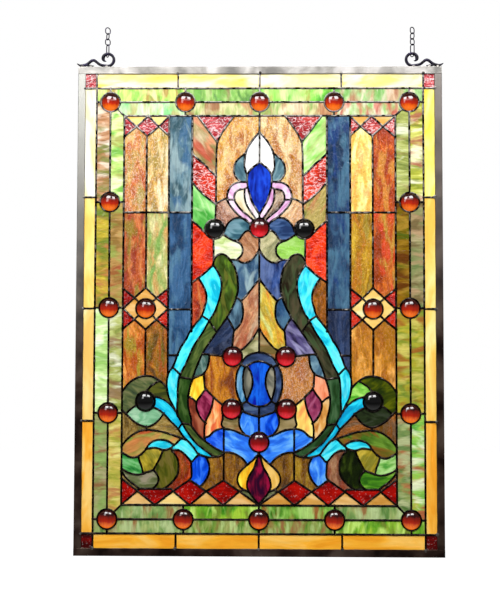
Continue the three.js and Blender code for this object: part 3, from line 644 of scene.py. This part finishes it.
def pane_seeds():
    """A point inside each pane, with its CAD node, its glass and the way its streaks run."""
    seeds = []
    for zone, groups in PANES.items():
        halves = (zone, zone) if zone in CENTRE_PANES else (zone + "_left", zone + "_right")
        for left, right, way, *places in groups:
            for x, z in places:
                seeds += [(halves[0], (-x, z), left, 180 - way), (halves[1], (x, z), right, way)]
    for zone, panes in CENTRE_PANES.items():
        seeds += [(zone, (x, z), glass, way) for x, z, glass, way in panes]
    outer_x, inner_x, corner = (AMBER_X + MID_X) / 2, (MID_X + FIELD_X) / 2, (AMBER_X + LIP_X) / 2
    for side, sign in SIDES:
        sheet = "green_border_" + side
        for z, outer, inner in zip(GREEN_SIDE_Z, *(names.split() for names in GREEN_SIDES[side])):
            seeds.append((sheet, (sign * outer_x, z), "green_" + outer, 0))
            seeds.append((sheet, (sign * inner_x, z), "green_" + inner, 0))
        for z, glass in zip(AMBER_SIDE_Z, AMBER_SIDES[side].split()):
            seeds.append(("amber_border_" + side, (sign * corner, z), "amber_" + glass, UP))
        for i, (end, rim, glass, red) in enumerate(ENDS):
            outer_z, inner_z = (AMBER_Z[i] + MID_Z[i]) / 2, (MID_Z[i] + FIELD_Z[i]) / 2
            rim_z, sheet = (AMBER_Z[i] + rim) / 2, "green_border_" + end
            for x, outer, inner in zip(GREEN_END_X, *(names.split() for names in GREEN_ENDS[end, side])):
                seeds.append((sheet, (sign * x, outer_z), "green_" + outer, UP))
                seeds.append((sheet, (sign * x, inner_z), "green_" + inner, UP))
            seeds.append((sheet, (sign * (AMBER_X - CORNER_IN), outer_z), "green_" + outer, UP))
            seeds += [("amber_border_" + end, (sign * x, rim_z), glass, 0) for x in AMBER_END_X]
            seeds.append((f"red_corner_{end}_{side}", (sign * corner, rim_z), red, 0))
    return seeds


def holding(points, cells, place):
    """The index of the cell that a point lies in."""
    for i, cell in enumerate(cells):
        a, b, c = (points[[triangle[k] for triangle in cell]] for k in range(3))
        crosses = [(q[:, 0] - p[:, 0]) * (place[1] - p[:, 1]) - (q[:, 1] - p[:, 1]) * (place[0] - p[:, 0])
                   for p, q in ((a, b), (b, c), (c, a))]
        if (np.min(crosses, axis=0) >= 0).any():
            return i
    return None


def pane(shell, points, cell, slot, way, number):
    """One pane: a flat plate of glass, a little inside its cell, with streaks along the given way."""
    sides = dict.fromkeys(edge for triangle in cell for edge in edges_of(triangle))
    rim = [(a, b) for a, b in sides if (b, a) not in sides]
    push = defaultdict(lambda: np.zeros(2))
    for a, b in rim:
        step = points[b] - points[a]
        normal = np.array([-step[1], step[0]]) / np.hypot(*step)
        push[a] += normal
        push[b] += normal
    used = sorted({i for triangle in cell for i in triangle})
    at = {i: k for k, i in enumerate(used)}
    flat = np.array([points[i] + push[i] * min(2 * PANE_GAP / max(push[i] @ push[i], 1e-9), 2 * PANE_GAP)
                     for i in used])
    chance = random.Random(number)
    tilt = np.array([chance.uniform(-1, 1), chance.uniform(-1, 1)]) * PANE_SLOPE
    lean = ((flat - flat.mean(0)) @ tilt).clip(-PANE_LEAN, PANE_LEAN)
    n = len(flat)
    places = [(x, y + shift, z) for y in (-GLASS_HALF, GLASS_HALF) for (x, z), shift in zip(flat, lean)]
    faces = [tuple(at[i] for i in triangle) for triangle in cell]
    faces += [tuple(n + at[i] for i in reversed(triangle)) for triangle in cell]
    faces += [(at[a], n + at[a], n + at[b], at[b]) for a, b in rim]
    turn = math.radians(way)
    forward, across = np.array([(math.cos(turn), math.sin(turn)), (-math.sin(turn), math.cos(turn))])
    seed = chance.uniform(0, 200)
    grain = [(p @ forward + 40 * seed, p @ across, seed) for p in flat] * 2
    shell.add(places, faces, slot, grain)


def bead(points, widths, depths, sides=BEAD_SIDES, square=2.4, closed=False, capped=True):
    """A rounded strip along points on the panel's face, as vertices and faces."""
    p = np.array(points, float)
    if closed:
        step = np.roll(p, -1, 0) - np.roll(p, 1, 0)
    else:
        step = np.vstack([p[1:], p[-1:]]) - np.vstack([p[:1], p[:-1]])
    step /= np.hypot(*step.T)[:, None]
    widths, depths = np.broadcast_to(widths, len(p)), np.broadcast_to(depths, len(p))
    if not closed:
        reach = widths[[0, -1]] * 0.6 if capped else (0.0, 0.0)
        p = np.vstack([p[0] - step[0] * reach[0], p, p[-1] + step[-1] * reach[1]])
        step = np.vstack([step[:1], step, step[-1:]])
        widths = np.r_[widths[0] * 0.7, widths, widths[-1] * 0.7]
        depths = np.r_[depths[0] * 0.85, depths, depths[-1] * 0.85]
    angles = (np.arange(sides) + 0.5) * 2 * math.pi / sides
    cos, sin = (np.sign(f) * np.abs(f) ** (2 / square) for f in (np.cos(angles), np.sin(angles)))
    normal = np.c_[-step[:, 1], step[:, 0]]
    flat = p[:, None] + normal[:, None] * (widths[:, None] * cos)[..., None]
    places = np.dstack([flat[..., 0], depths[:, None] * sin, flat[..., 1]]).reshape(-1, 3)
    if closed:
        return places, outward(places, quads(len(p), sides, True))
    ends = np.array([[*(p[i] + s * step[i] * widths[i] * 0.3), 0] for i, s in ((0, -1), (-1, 1))])
    places = np.vstack([places, ends[:, [0, 2, 1]]])
    return places, outward(places, skin(len(p), sides))


def wobble(points, share, size, seed):
    """How much thicker or thinner than plain a hand-run bead is at each point."""
    return np.array([1 + share * noise.noise(Vector((x / size, z / size, seed))) for x, z in points])


def blob(x, z, radius, depth, middle=0.0):
    """A small cushion of solder, as vertices and faces."""
    polar = [math.pi * i / BLOB_ROWS for i in range(BLOB_ROWS + 1)]
    profile = [(radius * math.sin(angle), middle - depth * math.cos(angle)) for angle in polar]
    return turned(x, z, profile, BLOB_SIDES)


class Nodes:
    """A material's nodes, made one after another."""

    def __init__(self, name):
        self.material = bpy.data.materials.new(name)
        self.material.use_nodes = True
        self.tree = self.material.node_tree
        self.shader = self.tree.nodes["Principled BSDF"]

    def add(self, kind, settings=None, **inputs):
        node = self.tree.nodes.new("ShaderNode" + kind)
        for key, value in (settings or {}).items():
            setattr(node, key, value)
        for key, value in inputs.items():
            self.put(node.inputs[key.replace("_", " ")], value)
        return node

    def put(self, socket, value):
        if isinstance(value, bpy.types.NodeSocket):
            self.tree.links.new(value, socket)
        else:
            socket.default_value = value

    def set(self, **inputs):
        for key, value in inputs.items():
            self.put(self.shader.inputs[key.replace("_", " ")], value)

    def ramp(self, fac, stops):
        node = self.add("ValToRGB", Fac=fac)
        elements = node.color_ramp.elements
        while len(elements) < len(stops):
            elements.new(0.5)
        for element, (position, colour) in zip(elements, stops):
            element.position, element.color = position, colour
        return node.outputs["Color"]

    def between(self, value, low, high, start=0.3, end=0.7):
        made = self.add("MapRange", Value=value)
        for key, number in (("From Min", start), ("From Max", end), ("To Min", low), ("To Max", high)):
            made.inputs[key].default_value = number
        return made.outputs["Result"]

    def mix(self, share, first, second):
        made = self.add("Mix", {"data_type": "RGBA"})
        for socket, value in zip((made.inputs[0], made.inputs[6], made.inputs[7]), (share, first, second)):
            self.put(socket, value)
        return made.outputs[2]

    def calc(self, operation, *values):
        made = self.add("Math", {"operation": operation})
        for socket, value in zip(made.inputs, values):
            self.put(socket, value)
        return made.outputs["Value"]

    def scaled(self, vector, scale):
        return self.add("Mapping", Vector=vector, Scale=scale).outputs["Vector"]

    def noise(self, vector, detail=3.0, distortion=0.0, scale=1.0):
        made = self.add("TexNoise", Vector=vector, Scale=scale, Detail=detail, Distortion=distortion)
        return made.outputs["Fac"]


def glass_material(name):
    """One sort of art glass: swirls of its colours along the grain, speckles of painted highlight, and its
    surface.
    """
    kind, codes = GLASS[name]
    nodes = Nodes("glass_" + name)
    grain = nodes.add("Attribute", {"attribute_name": "grain"}).outputs["Vector"]
    swirl = nodes.noise(nodes.scaled(grain, (1 / kind.long, 1 / kind.wide, 1)), 3.5, 0.9)
    colour = nodes.ramp(swirl, [(0.38 + 0.12 * i, linear(code)) for i, code in enumerate(codes[:3])])
    for number, code in enumerate(codes[3:], 1):
        moved = nodes.add("Mapping", Vector=grain, Location=(3.7 * number, 9.1 * number, 5.3 * number),
                          Scale=(1 / kind.long, 1.3 / kind.wide, 1)).outputs["Vector"]
        patch = nodes.between(nodes.noise(moved, 3.0, 0.6), 0.0, 0.9, 0.50, 0.64)
        colour = nodes.mix(patch, colour, linear(code))
    hairs = nodes.noise(nodes.scaled(grain, (1 / kind.streak, 1 / kind.hair, 1)), 3.0, 0.3)
    tinted = nodes.add("VectorMath", {"operation": "SCALE"},
                       Scale=nodes.between(hairs, 1 - kind.shade, 1 + kind.shade))
    nodes.put(tinted.inputs[0], colour)
    colour = tinted.outputs[0]
    length, width = kind.ripple
    ripple = nodes.noise(nodes.scaled(grain, (1 / length, 1 / width, 1)), 1.0, 0.6)
    # Painted highlight: a pale colour on the ripples' crests stands in for glints of light, strongest in
    # hammered and granite glass
    if kind.gleam:
        crest = nodes.ramp(ripple, [(p, (c, c, c, 1)) for p, c in zip(kind.crest, (0, 1, 0))])
        pale = [0.55 + 0.45 * c for c in linear(codes[1])[:3]] + [1.0]
        colour = nodes.mix(nodes.calc("MULTIPLY", crest, kind.gleam), colour, pale)
    bump = nodes.add("Bump", Height=ripple, Distance=kind.relief * 4 * MM, Strength=1.0)
    nodes.set(Base_Color=colour, Roughness=nodes.between(hairs, *kind.rough),
              Normal=bump.outputs["Normal"], IOR=1.5, Specular_IOR_Level=0.3)
    return nodes.material


def metal_material(name, codes, size, rough, depth, metallic=0.75, bright=None):
    """Patinated metal: blotches of its colours, uneven gloss and a fine grain.

    bright is a colour, the heights in metres where it starts and is full, and how patchy it is: a
    painted highlight, lighter towards the top where the light falls.
    """
    nodes = Nodes(name)
    where = nodes.add("TexCoord").outputs["Object"]
    blotch = nodes.noise(nodes.scaled(where, (1 / (size * MM),) * 3), 5.0, 0.4)
    stops = [(0.36 + 0.28 * i / (len(codes) - 1), linear(code)) for i, code in enumerate(codes)]
    fine = nodes.noise(nodes.scaled(where, (1 / (1.3 * MM),) * 3), 3.0)
    bump = nodes.add("Bump", Height=fine, Distance=depth * MM, Strength=1.0)
    colour = nodes.ramp(blotch, stops)
    # Painted highlight: the colour is mixed towards the pale one with height, standing in for light falling
    # from above
    if bright:
        sheen_code, start, full, patchy = bright
        height = nodes.add("SeparateXYZ", Vector=where).outputs["Z"]
        uneven = nodes.calc("MULTIPLY_ADD", blotch, patchy, height)
        sheen_share = nodes.between(uneven, 0.0, 1.0, start + patchy / 2, full + patchy / 2)
        colour = nodes.mix(sheen_share, colour, linear(sheen_code))
    nodes.set(Base_Color=colour, Roughness=nodes.between(blotch, *rough),
              Normal=bump.outputs["Normal"], Metallic=metallic)
    return nodes.material


def jewel_material(name, deep, body, painted_glow, clear):
    """Pressed glass under a hard gloss: painted shade at its top, a painted glow in colour and emission low
    down.
    """
    nodes = Nodes(name)
    grain = nodes.add("Attribute", {"attribute_name": "grain"}).outputs["Vector"]
    height = nodes.add("SeparateXYZ", Vector=grain).outputs["Z"]
    cloud = nodes.noise(nodes.scaled(grain, (0.35, 0.35, 0.35)), 2.0)
    soft = nodes.calc("MULTIPLY_ADD", cloud, 0.22, height)
    # Painted light: colour runs from a painted glow low down through the body colour to painted shade at the
    # top, and the glow is also emitted
    stops = [(0.20, linear(painted_glow)), (0.48, linear(body)), (0.86, linear(deep)), (1.0, linear(deep))]
    painted_glow_light = [(0.12, linear(painted_glow)), (0.50, linear("000000"))]
    nodes.set(Base_Color=nodes.ramp(soft, stops), Roughness=0.03, IOR=1.5,
              Specular_IOR_Level=0.75, Transmission_Weight=clear,
              Emission_Color=nodes.ramp(soft, painted_glow_light), Emission_Strength=0.55)
    return nodes.material


def finish_piece(piece, slot, *nodes):
    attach(piece, "root")
    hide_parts(*nodes)
    return piece


def glass_slot(node):
    if node.startswith("red_corner"):
        return "red_glass"
    if node.startswith("lyre"):
        return "ribbon_glass"
    if node.startswith("scroll_corner"):
        return "leaf_glass"
    return {"blue": "blue_glass", "amber": "amber_glass", "green": "green_glass", "column": "column_glass",
            "arch": "arch_glass", "vase": "vase_glass", "base": "base_glass"}[node.split("_")[0]]


def make_panes(lines):
    """All the panes, one object for each sheet of the CAD model."""
    points, cells = triangle_cells(lines)
    shells, palettes = defaultdict(Shell), defaultdict(list)
    for number, (node, place, glass, way) in enumerate(pane_seeds()):
        if glass not in palettes[node]:
            palettes[node].append(glass)
        cell = cells[holding(points, cells, place)]
        pane(shells[node], points, cell, palettes[node].index(glass), way, number)
    materials = {}
    for node, shell in shells.items():
        for glass in palettes[node]:
            materials.setdefault(glass, glass_material(glass))
        piece = shell.build("panes_" + node, [materials[glass] for glass in palettes[node]], smooth=False)
        finish_piece(piece, glass_slot(node), node)


def make_network(lines):
    """The solder: a bead along every line on both faces, rings round jewels and blobs at line ends."""
    # The solder's colour is painted lighter towards the top as painted highlight, standing in for glints of
    # the light above
    material = metal_material("solder_patina_and_sheen", ("0a0807", "1a1512", "3a322d"), 5, (0.2, 0.42), 0.22, 0.95,
                              ("8a8682", -0.26, -0.01, 1.5))
    shell = Shell()
    ends = []
    for number, line in enumerate(lines):
        widths = BEAD_HALF * wobble(line, 0.22, 7, number)
        depths = BEAD_DEPTH * wobble(line, 0.08, 5, number + 0.5)
        shell.add(*bead(line, widths, depths))
        ends += [line[0], line[-1]]
    for number, centre in enumerate(JEWELS.values()):
        points = ring(centre, RING_MIDDLE, RING_BEADS)
        widths = RING_HALF * wobble(points, 0.15, 6, number)
        shell.add(*bead(points, widths, BEAD_DEPTH * wobble(points, 0.06, 5, number + 0.3), closed=True))
    for number, (x, z) in enumerate(ends):
        chance = random.Random(number)
        shell.add(*blob(x, z, chance.uniform(1.9, 2.5), BEAD_DEPTH * chance.uniform(0.98, 1.06)))
    piece = shell.build("solder_lines", [material])
    finish_piece(piece, "solder_metal", "solder_network")


def make_jewels():
    """Domed jewels, each a turned body with its flat back on the panel's back."""
    # Each jewel material: its painted shade at the top, its body colour, its painted glow low down, and how
    # clear it is
    red = jewel_material("jewel_red", "2c0303", "c4280a", "ff7a10", 0.15)
    ruby = jewel_material("jewel_ruby", "2c0206", "a8080c", "f01c30", 0.15)
    black = jewel_material("jewel_black", "010101", "020202", "050506", 0.0)
    dome = [math.pi / 2 * i / JEWEL_ROWS for i in range(1, JEWEL_ROWS + 1)]
    profile = [(0, GLASS_HALF), (JEWEL_R, GLASS_HALF), (JEWEL_R, -GLASS_HALF)]
    profile += [(JEWEL_R * math.cos(turn), -GLASS_HALF - JEWEL_RISE * math.sin(turn)) for turn in dome]
    for node, (x, z) in JEWELS.items():
        places, faces = turned(x, z, profile, JEWEL_SIDES)
        # The grain's height runs from 0 at the jewel's lowest point to 1 at its highest, placing the painted
        # glow and painted shade
        grain = (places - (x, 0, z)) / (1, 1, 2 * JEWEL_R) + (0, 0, 0.5)
        grain[-2, 1] = 0
        is_black = any(kind in node for kind in BLACK_JEWELS)
        is_ruby = any(kind in node for kind in RUBY_JEWELS)
        shell = Shell()
        shell.add(places, faces, 0, grain)
        piece = shell.build(node + "_dome", [black if is_black else ruby if is_ruby else red])
        finish_piece(piece, "black_jewel_glass" if is_black else "red_jewel_glass", node)


def channel_section():
    """Half the frame channel's section: (distance in from the outer edge, depth), out and back."""
    slot, outer, corner, chamfer, lip = GLASS_HALF + CLEARANCE, CHANNEL_HALF, 0.7, 0.2, 0.45
    back = [(0, outer - corner), (chamfer, outer - chamfer), (corner, outer), (FACE - lip, outer),
            (FACE, outer - lip), (FACE, slot + 0.2), (FACE - 0.3, slot), (WALL, slot)]
    return [(s, -y) for s, y in back[2::-1]] + back + [(s, -y) for s, y in back[:2:-1]]


DROP_IN = 0.8
BAR_STEP = 9


def make_frame():
    """The four channel bars, a little uneven along their lips, with the solder that tacks them."""
    patina = ("281a16", "48362e", "625248")
    # The top bar's light gray and the side bars' lighter upper ends are painted highlight where the light
    # falls from above; the darker colours are the patina
    finish = {
        bar: metal_material(name, codes, size, rough, 0.05, 0.85, bright)
        for bar, name, codes, size, rough, bright in (
            ("bottom", "channel_patina", patina, 38, (0.3, 0.5), None),
            ("top", "channel_top_sheen", ("75736f", "9a9792", "b8b4b2"), 30, (0.3, 0.48), None),
            ("left", "channel_patina_left", patina, 38, (0.3, 0.5), ("9c9c96", -0.44, -0.10, 0.1)),
            ("right", "channel_patina_right", patina, 38, (0.3, 0.5), ("7c7671", -0.40, -0.06, 0.1)),
        )
    }
    tin = metal_material("tinned_blobs", ("3a3734", "6e6a66", "8f8b86"), 6, (0.25, 0.45), 0.05, 0.9)
    section = channel_section()
    half_w = PANEL_W / 2
    bars = {
        "bottom": ((-half_w, 0), (half_w, 0), (0, 1)),
        "top": ((-half_w, PANEL_H), (half_w, PANEL_H), (0, -1)),
        "left": ((-half_w, FACE), (-half_w, PANEL_H - FACE), (1, 0)),
        "right": ((half_w, FACE), (half_w, PANEL_H - FACE), (-1, 0)),
    }
    ties_x = (-AMBER_X, -AMBER_CUTS_X[1], 0, AMBER_CUTS_X[1], AMBER_X)
    ties_z = (*AMBER_Z, *AMBER_CUTS_Z)
    drops = {
        "bottom": [(x, FACE - DROP_IN) for x in ties_x],
        "top": [(x, PANEL_H - FACE + DROP_IN) for x in ties_x],
        "left": [(-LIP_X - DROP_IN, z) for z in ties_z],
        "right": [(LIP_X + DROP_IN, z) for z in ties_z],
    }
    for seed, (name, (start, end, inward)) in enumerate(bars.items()):
        start, end, inward = (np.array(v, float) for v in (start, end, inward))
        count = round(np.hypot(*(end - start)) / BAR_STEP)
        places = []
        for i in range(count + 1):
            along_bar = start + (end - start) * i / count
            for s, y in section:
                play = noise.noise(Vector((i * 0.45, s / 4, seed))) * 0.35
                moved = s + play * (s / FACE) ** 2 if s > WALL else s
                x, z = along_bar + inward * moved
                places.append((x, y, z))
        shell, n = Shell(), len(section)
        faces = quads(count + 1, n)
        faces += [tuple(reversed(range(n))), tuple(count * n + k for k in range(n))]
        shell.add(places, outward(places, faces))
        for number, (x, z) in enumerate(drops[name]):
            for face in (-1, 1):
                chance = random.Random(seed * 20 + number * 2 + face)
                drop_x, drop_z = x + chance.uniform(-0.8, 0.8), z + chance.uniform(-0.8, 0.8)
                middle = face * (CHANNEL_HALF - 0.3)
                shell.add(*blob(drop_x, drop_z, chance.uniform(1.7, 2.6), 0.5, middle), 1)
        piece = shell.build("channel_" + name, [finish[name], tin], smooth=False)
        finish_piece(piece, "frame_metal", "frame_channel_" + name)


# Hooks, in millimetres in from the panel's edge and above its top
HOOK_HALF, CURL_HALF, HOOK_DEPTH = 1.8, 1.2, 1.45
SCROLL_R = 7.9
SCROLL_AT = (36.4, 9.4)
SCROLL_STEPS, SCROLL_TURN, SCROLL_CLOSE = 44, 1.72 * math.pi, 0.66
HOOK_SOLDERS = (4.5, 15.0, 35.0)
HOOK_RUN = [(-2, 4.3), (2, 2.2), (9, 3.1), (18.4, 8.8), (27.4, 3.1), (34.4, 1.6)]
HOOK_CURL = [(9, 3.0), (12.5, 1.8), (15.5, 1.2), (19, 1.7)]


def make_hooks():
    """Cast scroll hooks: a pointed foot, a crest, a dip and an open scroll, with a small curl below."""
    cast = metal_material("cast_black", ("07050c", "110d1c", "241d38"), 7, (0.22, 0.42), 0.08, 0.7)
    tin = bpy.data.materials["tinned_blobs"]
    run = [tuple(p) for p in through(HOOK_RUN, 1.2)][:-1]
    for t in np.arange(SCROLL_STEPS + 1) / SCROLL_STEPS:
        angle = t * SCROLL_TURN - math.pi / 2
        radius = SCROLL_R * (1 - SCROLL_CLOSE * t ** 5)
        run.append((SCROLL_AT[0] + radius * math.cos(angle), SCROLL_AT[1] + radius * math.sin(angle)))
    curl = through(HOOK_CURL, 1.0)
    # Each stroke: its line, its half width, how fast it fattens and thins at its ends, and its swelling
    strokes = ((np.array(run), HOOK_HALF, 9, 9, 0.25), (curl, CURL_HALF, 8, 2.5, 0))
    for side, sign in SIDES:
        shell = Shell()
        for line, widest, start, end, swell in strokes:
            place = np.c_[sign * (PANEL_W / 2 - line[:, 0]), PANEL_H + line[:, 1]]
            t = np.linspace(0, 1, len(line))
            share = np.minimum(1, np.minimum(0.35 + start * t, 0.3 + end * (1 - t)))
            share = share * (1 + swell * np.exp(-((t - 0.88) / 0.07) ** 2))
            share = share * wobble(place, 0.08, 5, 3)
            shell.add(*bead(place, widest * share, HOOK_DEPTH * np.sqrt(share), sides=12, square=2.6))
        for inset in HOOK_SOLDERS:
            shell.add(*blob(sign * (PANEL_W / 2 - inset), PANEL_H + 0.3, 3.0, 2.0), 1)
        piece = shell.build("cast_scroll_" + side, [cast, tin])
        finish_piece(piece, "cast_metal", "scroll_hook_" + side)


WIRE_HALF = 0.65
LONG_LINK, SMALL_LINK, SMALL_LINKS = 17.4, 9.6, 3
LINK_TURN, LINK_STEPS = 35, 40
LINK_INSIDE = 5.26


def make_chains():
    """Chains of round wire links, each turned a quarter from the last."""
    wire = metal_material("dark_wire", ("0f0b14", "221c2c", "433c50"), 5, (0.3, 0.5), 0.04, 0.85)
    radius = LINK_INSIDE / 2 + WIRE_HALF
    for side in ("left", "right"):
        node = "hanging_chain_" + side
        low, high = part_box(node)
        centre_x = (low.x + high.x) / 2 / MM
        bottom = (low.z - FOOT) / MM
        pitch = SMALL_LINK - 4 * WIRE_HALF + 0.2
        links = [(bottom, LONG_LINK, LINK_TURN)]
        links += [(bottom + LONG_LINK + i * pitch - SMALL_LINK, SMALL_LINK, LINK_TURN + 90 * i)
                  for i in range(1, SMALL_LINKS + 1)]
        shell = Shell()
        for foot, length, turn in links:
            reach = length / 2 - WIRE_HALF - radius
            line = ring((0, 0), radius, LINK_STEPS)
            line[:, 1] += np.where(np.arange(LINK_STEPS) < LINK_STEPS / 2, reach, -reach)
            places, faces = bead(line, WIRE_HALF, WIRE_HALF, sides=10, square=2.0, closed=True)
            spin = math.radians(turn - 90)
            x, y = places[:, 0].copy(), places[:, 1].copy()
            places[:, 0] = centre_x + x * math.cos(spin) - y * math.sin(spin)
            places[:, 1] = x * math.sin(spin) + y * math.cos(spin)
            places[:, 2] += foot + length / 2
            shell.add(places, faces)
        piece = shell.build("wire_chain_" + side, [wire])
        finish_piece(piece, "cast_metal", node)


ROOM_LIGHT = 0.13
LIGHTS = [
    ("key_left", (-0.56, -1.10, 0.92), (0.78, 0.66), 23.5, (0, 0, -0.40)),
    ("key_right", (0.56, -1.10, 0.92), (0.78, 0.66), 22.5, (0, 0, -0.40)),
    ("top_panel", (0.0, -1.20, 0.44), (1.6, 0.3), 3.2, (0, 0, -0.1)),
    ("left_panel", (-0.66, -1.15, 0.22), (0.34, 0.6), 3.0, (-0.2, 0, -0.1)),
    ("back_fill", (0.0, 1.3, 1.3), (1.4, 0.9), 34, (0, 0, -0.33)),
]
FLOOR_GLOW, FLOOR_REACH, FLOOR_BELOW = 1.0, 12.0, 1.1
CAMERA_X, CAMERA_Y, CAMERA_ABOVE_FOOT = 0.0058, -1.2447, 0.2548
CAMERA_TILT, CAMERA_ROLL, CAMERA_YAW = 2.81, -0.14, 0.79


def make_stage():
    """White surroundings, a white floor well below the panel, soft lights and the camera."""
    scene = bpy.context.scene
    scene.view_settings.view_transform = "Standard"
    world = bpy.data.worlds.new("white_room")
    scene.world = world
    world.use_nodes = True
    # The camera sees plain white behind the panel; the panel itself stands in a dimmer room
    tree = world.node_tree
    path, level = tree.nodes.new("ShaderNodeLightPath"), tree.nodes.new("ShaderNodeMapRange")
    level.inputs["To Min"].default_value, level.inputs["To Max"].default_value = ROOM_LIGHT, 1.0
    tree.links.new(path.outputs["Is Camera Ray"], level.inputs["Value"])
    tree.nodes["Background"].inputs["Color"].default_value = (1, 1, 1, 1)
    tree.links.new(level.outputs["Result"], tree.nodes["Background"].inputs["Strength"])

    floor_mesh = bpy.data.meshes.new("pale_floor")
    reach, level = FLOOR_REACH, FOOT - FLOOR_BELOW
    floor_mesh.from_pydata([(-reach, -reach, level), (reach, -reach, level), (reach, reach, level),
                            (-reach, reach, level)], [], [(0, 1, 2, 3)])
    floor = bpy.data.objects.new("pale_floor", floor_mesh)
    scene.collection.objects.link(floor)
    paint = Nodes("floor_paint")
    paint.set(Base_Color=(0.5, 0.5, 0.5, 1), Roughness=0.9, Emission_Color=(1, 1, 1, 1))
    seen = paint.add("LightPath").outputs["Is Camera Ray"]
    paint.set(Emission_Strength=paint.between(seen, 0, FLOOR_GLOW, 0, 1))
    floor_mesh.materials.append(paint.material)

    for name, place, size, power, aim in LIGHTS:
        light = bpy.data.lights.new(name, "AREA")
        light.shape, light.size, light.size_y, light.energy = "RECTANGLE", size[0], size[1], power
        lamp = bpy.data.objects.new(name, light)
        lamp.location = place
        lamp.rotation_euler = (Vector(aim) - lamp.location).to_track_quat("-Z", "Y").to_euler()
        scene.collection.objects.link(lamp)

    # The photograph's view, worked out from the panel's four corners in its 500 x 600 frame
    camera = bpy.data.objects.new("camera", bpy.data.cameras.new("camera"))
    camera.data.lens, camera.data.sensor_width = 60.0, 36.0
    camera.location = (CAMERA_X, CAMERA_Y, FOOT + CAMERA_ABOVE_FOOT)
    pitch, roll, yaw = (math.radians(angle) for angle in (CAMERA_TILT, CAMERA_ROLL, CAMERA_YAW))
    turned = Matrix.Rotation(yaw, 3, "Z") @ Matrix.Rotation(roll, 3, "Y") @ Matrix.Rotation(pitch, 3, "X")
    camera.rotation_euler = (turned @ Matrix.Rotation(math.pi / 2, 3, "X")).to_euler()
    scene.collection.objects.link(camera)
    scene.camera = camera


network_lines = [run for line in border_lines() + field_lines() for run in clear_of_jewels(line)]
make_panes(network_lines)
make_network(network_lines)
make_jewels()
make_frame()
make_hooks()
make_chains()
make_stage()
